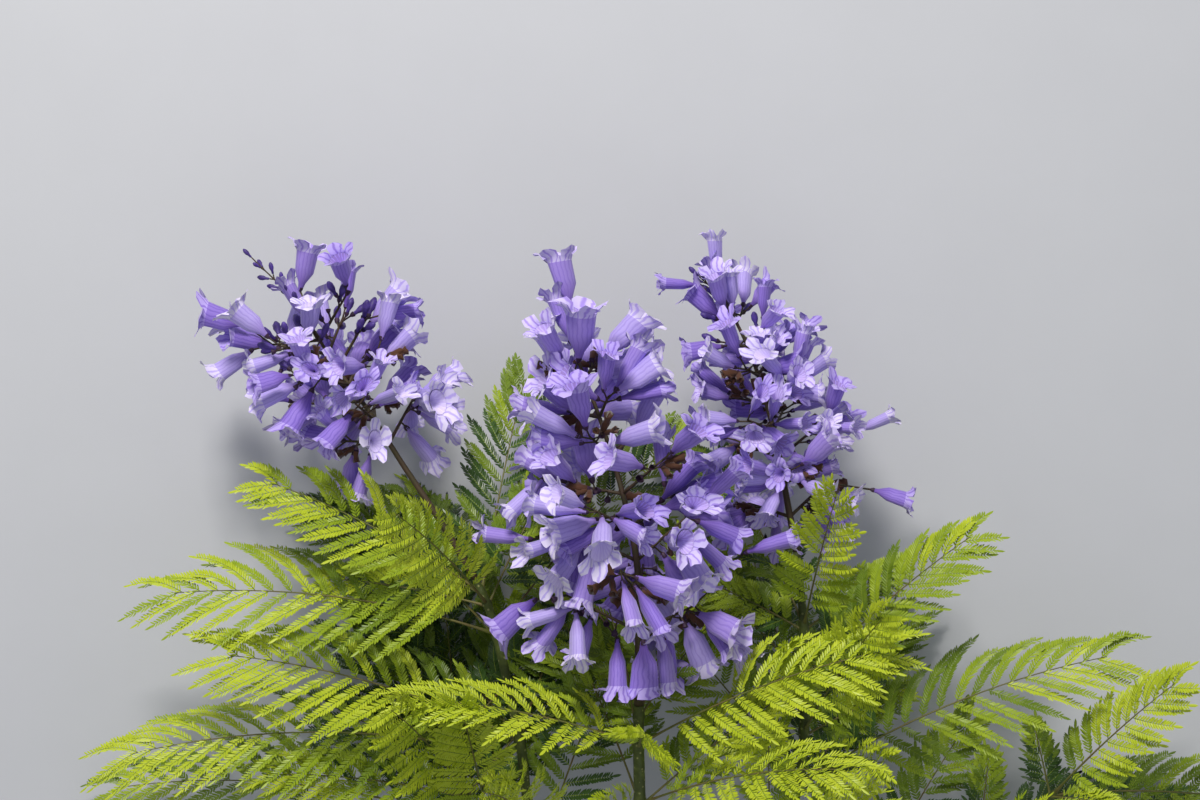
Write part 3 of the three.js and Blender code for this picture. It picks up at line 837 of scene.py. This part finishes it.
def room_for(bells, base, mouth, scale):
    """The least spare room between a new bell and those already there, in millimetres."""
    reach = BELL_LENGTH * scale
    mouth_room, tube_room = MOUTH_ROOM * scale, TUBE_ROOM * scale
    our_rim, our_tube = base + mouth * reach, base + mouth * reach * TUBE_MIDDLE
    spare = 99
    for bell in bells:
        rim, tube = bell["base"] + bell["mouth"] * reach, bell["base"] + bell["mouth"] * reach * TUBE_MIDDLE
        spare = min(
            spare, (our_rim - rim).length - mouth_room, (our_tube - tube).length - tube_room,
            (our_rim - tube).length - tube_room - 2, (our_tube - rim).length - tube_room - 2,
        )
    return spare


def state_of(plan, branch, at, random):
    """Near the tip some bells are still buds. Nearest the axis, where the oldest hang, more have dropped and left
    their cup, and here and there one has died."""
    chance = random()
    if branch["share"] > 0.72 and at < 1 and chance < plan["young"]:
        return "bud"
    if chance > 1 - plan["fallen"] - 0.3 * (1 - at):
        return "dropped"
    return "dead" if chance < plan["withered"] and at < 1 else "open"


def grow_bells(plan):
    """Every bell of a panicle, with its stalk's foot, its base and the way its mouth looks."""
    random = seeded(plan["seed"] + 1)
    axis_tip, axis_way = point_at(plan["route"], 1), heading_at(plan["route"], 1)
    first_base = axis_tip + axis_way * STALK_LENGTH
    scale = plan["bells"]
    bells = [{"foot": axis_tip, "base": first_base, "mouth": axis_way, "size": scale, "state": "open"}]
    branches = panicle_branches(plan)
    for at in BELLS_AT:
        for branch in branches:
            for side in (0,) if at == 1 else (-BELL_FLANK, BELL_FLANK):
                choices = bell_choices(branch, at, side, random)
                foot, base, mouth = max(choices, key=lambda choice: room_for(bells, *choice[1:], scale))
                if room_for(bells, base, mouth, scale) > 0:
                    size = scale * (0.86 + 0.26 * random())
                    state = state_of(plan, branch, at, random)
                    bells.append({"foot": foot, "base": base, "mouth": mouth, "size": size, "state": state})
    twig_spots = [axis_tip] + [
        branch["root"] + branch["heading"] * branch["length"] * share
        for branch in branches for share in (0.6, 0.8, 1)
    ]
    for place, way in plan["lone"]:
        base, mouth = Vector(place), Vector(way).normalized()
        foot = min(twig_spots, key=lambda spot: (spot - base).length)
        bells.append({"foot": foot, "base": base, "mouth": mouth, "size": scale, "state": "open"})
    return branches, bells


PANICLE_BELLS = {}
for name, plan in PANICLES.items():
    PANICLE_BELLS[name] = grow_bells(plan)
    states = [bell["state"] for bell in PANICLE_BELLS[name][1]]
    print(name, {state: states.count(state) for state in sorted(set(states))})

# %% [markdown]
# ## Panicle pieces
#
# Bells, stalks and buds each become one mesh a panicle. A stalk is a thin rod from its branch to the bell's
# base. Here and there a few bells have died and hang on together, brown, curled and shrunken.

# %% Panicle pieces
def axes_for(ways, turns, sizes, width=1, depth=1):
    """Three directions for stamping a shape whose own Z looks along each way, turned about it."""
    helper = np.where(np.abs(ways[:, 2:]) > 0.9, [[1.0, 0, 0]], [[0, 0, 1.0]])
    first = unit_rows(np.cross(helper, ways))
    second = np.cross(ways, first)
    cos, sin = np.cos(turns)[:, None], np.sin(turns)[:, None]
    turned = first * cos + second * sin
    other = second * cos - first * sin
    width, depth = (np.broadcast_to(value, len(ways))[:, None] for value in (width, depth))
    return np.stack([turned * width, other * depth, ways], axis=1) * sizes[:, None, None]


def bent(start, middle, end, stations):
    """A curve from start to end that is drawn towards middle."""
    shares = np.linspace(0, 1, stations)[:, None]
    start, middle, end = (np.array(spot) for spot in (start, middle, end))
    return start * (1 - shares) ** 2 + middle * 2 * shares * (1 - shares) + end * shares ** 2


def arc(start, leaving, end, stations):
    """A curve from start to end that leaves start in a given direction."""
    return bent(start, start + leaving * ((end - start).length * 0.5), end, stations)


def bud_spray(route, buds, stalks, random):
    """A thin twig with dark buds in opposite pairs along its outer half, and one at its end."""
    shares = np.linspace(0, 1, 12)
    centre = np.array([point_at(route, share)[:] for share in shares])
    rods(stalks, centre[None], lerp(0.9, 0.5, shares)[None], 5)
    feet, ways = [point_at(route, 1)], [heading_at(route, 1)]
    for share in (0.4, 0.52, 0.64, 0.76, 0.88):
        along = heading_at(route, share)
        turn = Quaternion(along, math.tau * random())
        for side in (-1, 1):
            feet.append(point_at(route, share))
            ways.append((along + (turn @ along.orthogonal().normalized()) * side * 0.8).normalized())
    stubs = [arc(foot, way, foot + way * 4, 4) for foot, way in zip(feet, ways)]
    rods(stalks, np.array(stubs), np.full((len(stubs), 4), 0.5), 4)
    bases = np.array([(foot + way * 4)[:] for foot, way in zip(feet, ways)])
    sizes = np.array([0.45 + 0.25 * random() for _ in feet])
    stamp(buds, BUD, bases, axes_for(np.array([way[:] for way in ways]), np.zeros(len(feet)), sizes))


def panicle_pieces(name, plan):
    side = name.split("_")[1]
    random = seeded(plan["seed"] + 2)
    branches, bells = PANICLE_BELLS[name]
    stalks, petals, withered, buds = Batch(), Batch(), Batch(), Batch()
    shares = np.linspace(0, 1, 40)
    axis = np.array([point_at(plan["route"], share)[:] for share in shares])
    rods(stalks, axis[None], lerp(*plan["radii"], shares)[None], 8)
    twigs = [arc(b["root"], b["heading"], b["root"] + b["heading"] * b["length"], 6) for b in branches]
    rods(stalks, np.array(twigs), np.tile(np.linspace(*TWIG_RADII, 6), (len(twigs), 1)), 5)
    pedicels = [arc(bell["foot"], (bell["base"] - bell["foot"]).normalized(), bell["base"], 4) for bell in bells]
    rods(stalks, np.array(pedicels), np.tile(STALK_RADII, (len(bells), 1)), 4)
    bases = np.array([bell["base"][:] for bell in bells])
    ways = np.array([bell["mouth"][:] for bell in bells])
    states = np.array([bell["state"] for bell in bells])
    turns, kinds, tints, sizes, widths, depths = (
        np.array([lerp(low, high, random()) for _ in bells])
        for low, high in ((0, math.tau), (0, len(BELLS)), (0, 3), (1, 1), (0.92, 1.12), (0.78, 1.02))
    )
    sizes = sizes * [bell["size"] for bell in bells]
    stamp(stalks, CALYX, bases, axes_for(ways, turns, sizes), np.full(len(bells), 1))
    axes = axes_for(ways, turns, sizes, widths, depths)
    for kind, template in enumerate(BELLS):
        chosen = (kinds.astype(int) == kind) & (states == "open")
        stamp(petals, template, bases[chosen], axes[chosen], 3 * tints[chosen].astype(int))
    dead, young = states == "dead", states == "bud"
    if dead.any():
        for share, lean in DEAD_CLUSTER:
            curled = unit_rows(ways[dead] + lean)
            shrunken = share * sizes[dead]
            stamp(withered, DEAD_BELL, bases[dead], axes_for(curled, turns[dead], shrunken, *DEAD_SQUASH))
        piece_from(f"withered_bells_{side}", withered, [WITHERED], [])
    if plan["spray"]:
        bud_spray(plan["spray"], buds, stalks, random)
    if young.any():
        stamp(buds, BUD, bases[young], axes_for(ways[young], turns[young], sizes[young]))
        piece_from(f"flower_buds_{side}", buds, [BUD_SKIN], [])
    piece_from(f"bells_{side}", petals, PETALS, [name])
    piece_from(f"flower_stalks_{side}", stalks, [FLOWER_STALK, CALYX_SKIN], [name])


for name, plan in PANICLES.items():
    panicle_pieces(name, plan)

# %% [markdown]
# ## Leaf finishes
#
# Jacaranda leaflets are thin and satin. Sun and shade are painted into their colour as four greens, from a
# painted sunlit yellow-green to a painted deep shade, since one flat green would kill the depth. A pattern
# painted over the whole crown would land differently on every leaflet, so each pinna, a side rib with its two
# rows of leaflets, simply gets one of the four.

# %% Leaf finishes
# Painted light: the first green stands for full sun, the last for deep shade inside the crown.
LEAFLET_GREENS_SUN_TO_SHADE = [
    plant_skin("leaflet painted in full sun", [(0.3, "#a8bc1e"), (0.7, "#c6d434")], 16, 0.42),
    plant_skin("leaflet painted in half sun", [(0.3, "#869f18"), (0.7, "#a2b728")], 16, 0.42),
    plant_skin("green leaflet", [(0.3, "#5e7916"), (0.7, "#7a9224")], 16, 0.38),
    plant_skin("leaflet painted in deep shade", [(0.3, "#2f4c1a"), (0.7, "#476628")], 16, 0.32),
]
LEAF_STALK = plant_skin("leaf stalk skin", [(0.3, "#66702c"), (0.6, "#6e6636"), (0.8, "#6a4a3a")], 20, 0.5)
PINNA_RIB = plant_skin("pinna rib skin", [(0.3, "#7c9426"), (0.7, "#93a83a")], 20, 0.5)
print("leaf finishes:", len(LEAFLET_GREENS_SUN_TO_SHADE))

# %% [markdown]
# ## Leaves
#
# A jacaranda leaf is twice feathered. Its midrib bears opposite side ribs, the pinnae, and each pinna bears two
# rows of leaflets under ten millimetres long and one more at its end. The leaflet is a small grid of few faces,
# because there are tens of thousands, pinched in at its foot, pointed at its tip and folded along its middle.

# %% Leaflet shape
def leaflet_template():
    bm = bmesh.new()
    bmesh.ops.create_grid(bm, x_segments=2, y_segments=3, size=0.5)
    bmesh.ops.translate(bm, verts=bm.verts, vec=(0, 0.5, 0))
    for vert in bm.verts:
        row = round(vert.co.y * 3)
        width, height = ((0.45, 0), (1, 0.36), (0.86, 0.74), (0, 1))[row]
        vert.co = (vert.co.x * width, height, -abs(vert.co.x) * width * 0.12 - 0.05 * height * height)
    bmesh.ops.remove_doubles(bm, verts=bm.verts, dist=0.001)
    return template_of(bm)


LEAFLET = leaflet_template()
print("faces in a leaflet:", len(LEAFLET[2]))

# %% [markdown]
# The midrib is walked in short steps from its foot on the shoot. At each step it bends a little to the branch's
# foot and to the ground, which gives the leaf its arch, and near the ground it levels out. The blade's face
# looks to the upper side, and rolls to the tip's side where the leaf runs sideways. This is the drawing's rule
# too, so the fine leaf covers the plain one.

# %% Leaf rule
REST_HEIGHT = 1.2
SETTLING_HEIGHT = 30
STATIONS = 18
BARE_STATIONS = 0.18 * STATIONS
PINNA_SHARE = 0.28
LONGEST_PINNA = 66
PINNA_ARC = (0.3, 0.8)
PINNA_ANGLE = (56, 20)
PINNA_DROOP = 0.16
LEAF_ARCH = 0.002
BEND = Vector((0, -0.86, -0.51))
LOWEST_HEADING = -0.35
FACE_ROLL, RISING_ROLL, ROLL_LIMITS = 33, 72, (24, 72)


def leaf_plan(limb, pair, side):
    tip = heading_at(limb["route"], pair["at"])
    across, upper = frame_along(tip)
    turn = math.radians(pair["turns"][side])
    outward = across * math.cos(turn) + upper * math.sin(turn)
    spread = math.radians(pair["spreads"][side])
    direction = tip * math.cos(spread) + outward * math.sin(spread)
    direction.y = max(direction.y, LOWEST_HEADING)
    return point_at(limb["route"], pair["at"]), direction.normalized(), pair["lengths"][side]


def blade_frame(along, own_roll):
    level = UP_SIDE.cross(along).normalized()
    rising = min(max(FACE_ROLL + RISING_ROLL * along.z, ROLL_LIMITS[0]), ROLL_LIMITS[1])
    across = Quaternion(along, own_roll - math.radians(rising) * along.x) @ level
    return across, along.cross(across)


def midrib(start, direction, length, own_roll):
    """Stations along the leaf: its point, its heading, and the blade's two directions."""
    step = length / STATIONS
    point, along = start.copy(), direction.copy()
    found = []
    for number in range(STATIONS + 1):
        across, normal = blade_frame(along, own_roll * (0.5 + number / STATIONS))
        found.append((point.copy(), along.copy(), across, normal))
        along += BEND * LEAF_ARCH * step
        along.y = max(along.y, LOWEST_HEADING)
        if along.z < 0:
            along.z *= min(max((point.z - REST_HEIGHT) / SETTLING_HEIGHT, 0), 1)
        along.normalize()
        point += along * step
        point.z = max(point.z, REST_HEIGHT)
    return found


level_leaf = midrib(Vector((0, 0, 100)), Vector((1, 0, 0)), 250, 0)
print("a level leaf 250 mm long sinks by", round(100 - level_leaf[-1][0].z), "mm")

# %% [markdown]
# Leaflets stand close, a pair every two or three millimetres, and lean forward along their pinna. All of a
# pinna's leaflets are placed at once by array arithmetic. A pinna that would grow into a bell is left out, as
# nature would bend it aside, and for that all bells are kept in a tree that finds the nearest one quickly.

# %% Pinnae
PINNA_PAIRS = 14
RIB_POINTS = 7
LOWEST_RIB = 0.8
BELL_CLEARANCE = 10
LEAFLET_SPACING = 2.4
LEAFLET_LENGTH = 6.8
LEAFLET_WIDTH = 1.95
LEAFLET_ANGLE = 44
LIGHT_SIDE = Vector((0, 0.95, 0.3))
COVER_ROOM = 22


def flattened(point):
    """A point as seen from above."""
    return Vector((point.x, point.y, 0))


def tree_of(spots):
    tree = KDTree(len(spots))
    for spot in spots:
        tree.insert(spot, 0)
    tree.balance()
    return tree


ALL_BELLS = [bell for _, bells in PANICLE_BELLS.values() for bell in bells]
bell_spots = [
    bell["base"] + bell["mouth"] * BELL_LENGTH * share for bell in ALL_BELLS for share in (0.25, 0.5, 0.75, 1)
]
bell_tree = tree_of(bell_spots)
plan_tree = tree_of([flattened(bell["base"] + bell["mouth"] * BELL_LENGTH * 0.6) for bell in ALL_BELLS])


def pinna_curve(leaf_length, ribs, station, side, fold, random):
    """Points along one side rib, and the blade's normal there. fold lifts both sides out of the blade's plane."""
    number = min(int(station), STATIONS - 1)
    weight = station - number
    point, along, across, normal = (a.lerp(b, weight) for a, b in zip(ribs[number], ribs[number + 1]))
    share = min(max((station - BARE_STATIONS) / (STATIONS - BARE_STATIONS), 0), 1)
    longest = min(leaf_length * PINNA_SHARE, LONGEST_PINNA)
    length = longest * math.sin(math.pi * lerp(*PINNA_ARC, share)) * (0.92 + 0.14 * random())
    angle = math.radians(lerp(*PINNA_ANGLE, share) + 9 * (random() - 0.5))
    lift = fold + 0.34 * (random() - 0.5)
    out = across * side * math.cos(lift) + normal * math.sin(lift)
    tip = point + out * length * math.sin(angle) + along * length * math.cos(angle)
    tip += BEND * length * (PINNA_DROOP + 0.12 * random())
    wide = angle + 0.2
    middle = point + (out * math.sin(wide) + along * math.cos(wide) + normal * 0.12) * length * 0.52
    curve = bent(point, middle, tip, RIB_POINTS)
    curve[:, 2] = np.maximum(curve[:, 2], LOWEST_RIB)
    turned = (normal + LIGHT_SIDE * (0.2 + 0.7 * random())).normalized()
    return curve, np.array(turned), length


def is_free_of_bells(curve):
    return all(bell_tree.find(spot)[2] > BELL_CLEARANCE for spot in curve[2:])


def leaflets_on(curve, normal, length, random):
    """Origins and axes of the leaflets in opposite pairs along a side rib."""
    pairs = max(int(round(length / LEAFLET_SPACING)), 5)
    shares = (np.arange(pairs) + 0.8) / (pairs + 0.3)
    place = shares * (RIB_POINTS - 1)
    number = np.minimum(place.astype(int), RIB_POINTS - 2)
    weight = (place - number)[:, None]
    origins = curve[number] * (1 - weight) + curve[number + 1] * weight
    forward = unit_rows(curve[number + 1] - curve[number])
    flank = unit_rows(np.cross(normal, forward))
    upright = np.cross(forward, flank)
    fan = math.radians(LEAFLET_ANGLE)
    size = 0.5 + 0.5 * np.sin(math.pi * (0.14 + 0.76 * shares))
    found = []
    for side in (-1, 1):
        jitter = np.array([random() - 0.5 for _ in range(pairs)])[:, None]
        lift = 0.22 + 0.5 * jitter
        way = forward * math.cos(fan) + flank * side * math.sin(fan) + upright * lift
        found.append((origins, way, size))
    end_way = forward[-1:] + upright[-1:] * 0.05
    found.append((curve[-1:], end_way, np.array([1.25])))
    origins, ways, sizes = (np.concatenate(parts) for parts in zip(*found))
    ways = unit_rows(ways)
    uprights = np.concatenate([upright, upright, upright[-1:]])
    across = unit_rows(np.cross(ways, uprights))
    face = np.cross(across, ways)
    axes = np.stack([across * LEAFLET_WIDTH, ways * LEAFLET_LENGTH, face * LEAFLET_LENGTH], axis=1)
    return origins, axes * sizes[:, None, None]


print("spots that pinnae keep clear of:", len(bell_spots))

# %% [markdown]
# Each pair of leaves becomes one mesh of leaflets and one of stalks, with the two young leaves from its axils.
# A pinna's green is painted sun and shade: it is painted brighter the higher it lies, the more its leaf rises and
# the nearer it is to the leaf's tip. Every leaf also has a mood of its own, because real leaves differ in age.

# %% Leaves of a shoot
PAINTED_LIGHT_EDGES = (0.75, 0.3, -0.15)
RIB_THICKNESS = (0.38, 0.15)
MIDRIB_THICKNESS = ([0, 1, 2.2, STATIONS], [2.2, 1.3, 0.9, 0.35])  # stations, and the radius at each


def painted_light_tint(direction, height, share, mood, random):
    """0 for a pinna painted in full sun to 3 for one painted deep in the shade of the crown. mood is the whole
    leaf's own.
    """
    # Painted sun and shade from the pinna's height, the leaf's rise and the pinna's place along the leaf.
    light = 0.5 * direction.z + (height - 70) / 170 + 0.75 * share - 0.15 + mood + 0.7 * (random() - 0.5)
    return sum(light <= edge for edge in PAINTED_LIGHT_EDGES)


def covers_flowers(start, direction, length):
    """Whether a leaf would lie over the bells, where they would have pushed it aside."""
    return any(
        plan_tree.find(flattened(start + direction * length * share))[2] < COVER_ROOM for share in (0.6, 0.8, 1)
    ) and direction.z > 0


def leaves_of(limb, pair, random):
    """A pair's two leaves, and the two young ones that have grown from its axils, a quarter turn round."""
    young = {
        "at": pair["at"] - 0.01,
        "turns": [turn + 90 + 50 * (random() - 0.5) for turn in pair["turns"]],
        "spreads": [44 + 20 * random(), 44 + 20 * random()],
        "lengths": [length * limb["young"] * (0.85 + 0.3 * random()) for length in pair["lengths"]],
    }
    grown = [leaf_plan(limb, pair, side) for side in (0, 1)]
    late = [leaf_plan(limb, young, side) for side in (0, 1)]
    return grown + [leaf for leaf in late if not covers_flowers(*leaf)]


def leaf_pieces(name, limb, pair, nodes, random):
    leaflets, stalks = Batch(), Batch()
    midribs, side_ribs, origins, axes, tints = [], [], [], [], []
    for start, direction, length in leaves_of(limb, pair, random):
        ribs = midrib(start, direction, length, 0.5 * (random() - 0.5))
        midribs.append([station[0][:] for station in ribs])
        fold = 0.1 + 0.3 * random()
        mood = 0.6 * (random() - 0.5)
        pairs = round(PINNA_PAIRS * min(1, 0.45 + length / 400))
        for step in range(pairs + 1):
            for flank in (-1, 1):
                station = lerp(BARE_STATIONS, STATIONS - 0.3, (step + 0.12 * flank + 0.15) / (pairs + 0.3))
                curve, normal, reach = pinna_curve(length, ribs, station, flank, fold, random)
                if not is_free_of_bells(curve):
                    continue
                side_ribs.append(curve)
                where, how = leaflets_on(curve, normal, reach, random)
                origins.append(where)
                axes.append(how)
                # Each pinna takes the green of painted sun or shade that its place gives.
                tint = painted_light_tint(direction, curve[3][2], step / pairs, mood, random)
                tints.append(np.full(len(where), tint))
    thickness = np.interp(np.arange(STATIONS + 1), *MIDRIB_THICKNESS)
    rods(stalks, np.array(midribs), np.tile(thickness, (len(midribs), 1)), 6)
    thinness = np.linspace(*RIB_THICKNESS, RIB_POINTS)
    rods(stalks, np.array(side_ribs), np.tile(thinness, (len(side_ribs), 1)), 3, 1)
    stamp(leaflets, LEAFLET, np.concatenate(origins), np.concatenate(axes), np.concatenate(tints))
    piece_from(f"leaflets_{name}", leaflets, LEAFLET_GREENS_SUN_TO_SHADE, nodes, smooth=False)
    piece_from(f"leaf_stalks_{name}", stalks, [LEAF_STALK, PINNA_RIB], nodes)


for seed, (limb_name, limb) in enumerate(LIMBS.items(), start=101):
    random = seeded(seed)
    for number, pair in enumerate(limb["pairs"], start=1):
        name = f"{limb_name}_{number}"
        leaf_pieces(name, limb, pair, [f"leaf_{name}a", f"leaf_{name}b"], random)

# %% [markdown]
# ## Stage
#
# The branch lies on a plain pale floor under soft studio light. The main light stands beyond the flowers and
# above them, as high sun would. A softer one fills the shadows from the foot's side. The standard
# view transform keeps yellow-green and violet as strong as they are, where a film-like one would grey them.

# %% Floor and light
floor_bm = bmesh.new()
bmesh.ops.create_grid(floor_bm, x_segments=1, y_segments=1, size=6)
floor_mesh = bpy.data.meshes.new("floor")
floor_bm.to_mesh(floor_mesh)
floor_bm.free()
floor = shown("floor", floor_mesh)
FLOOR_PAINT = plant_skin("pale studio floor", [(0.3, "#c8cbd1"), (0.7, "#cacdd3")], 90, 0.9)
floor_mesh.materials.append(FLOOR_PAINT)


def soft_light(name, place, size, power, colour):
    lamp = bpy.data.lights.new(name, "AREA")
    lamp.energy = power
    lamp.size = size
    lamp.color = linear(colour)[:3]
    light = shown(name, lamp)
    light.location = place
    light.rotation_mode = "QUATERNION"
    light.rotation_quaternion = (-Vector(place)).to_track_quat("-Z", "Y")


soft_light("key", (-0.5, 1.8, 1.8), 0.5, 47, "#fffaf2")
soft_light("fill", (0.6, -1.6, 2.4), 2.0, 7, "#eef2ff")
world = bpy.context.scene.world or bpy.data.worlds.new("studio")
bpy.context.scene.world = world
world.use_nodes = True
world.node_tree.nodes["Background"].inputs["Color"].default_value = linear("#e6e8ee")
world.node_tree.nodes["Background"].inputs["Strength"].default_value = 0.4
bpy.context.scene.view_settings.view_transform = "Standard"
print("lights:", [lamp.name for lamp in bpy.data.lights])

# %% [markdown]
# The camera looks straight down from three and a half metres through a long lens, so that near and far bells
# keep their true sizes, as they do in a picture that is taken from far away.

# %% Camera
camera_data = bpy.data.cameras.new("camera")
camera_data.lens = 135  # millimetres, as is the sensor
camera_data.sensor_width = 36
camera = shown("camera", camera_data)
camera.location = (-0.077, 0.22, 3.525)
bpy.context.scene.camera = camera
print("camera height in metres:", camera.location.z)
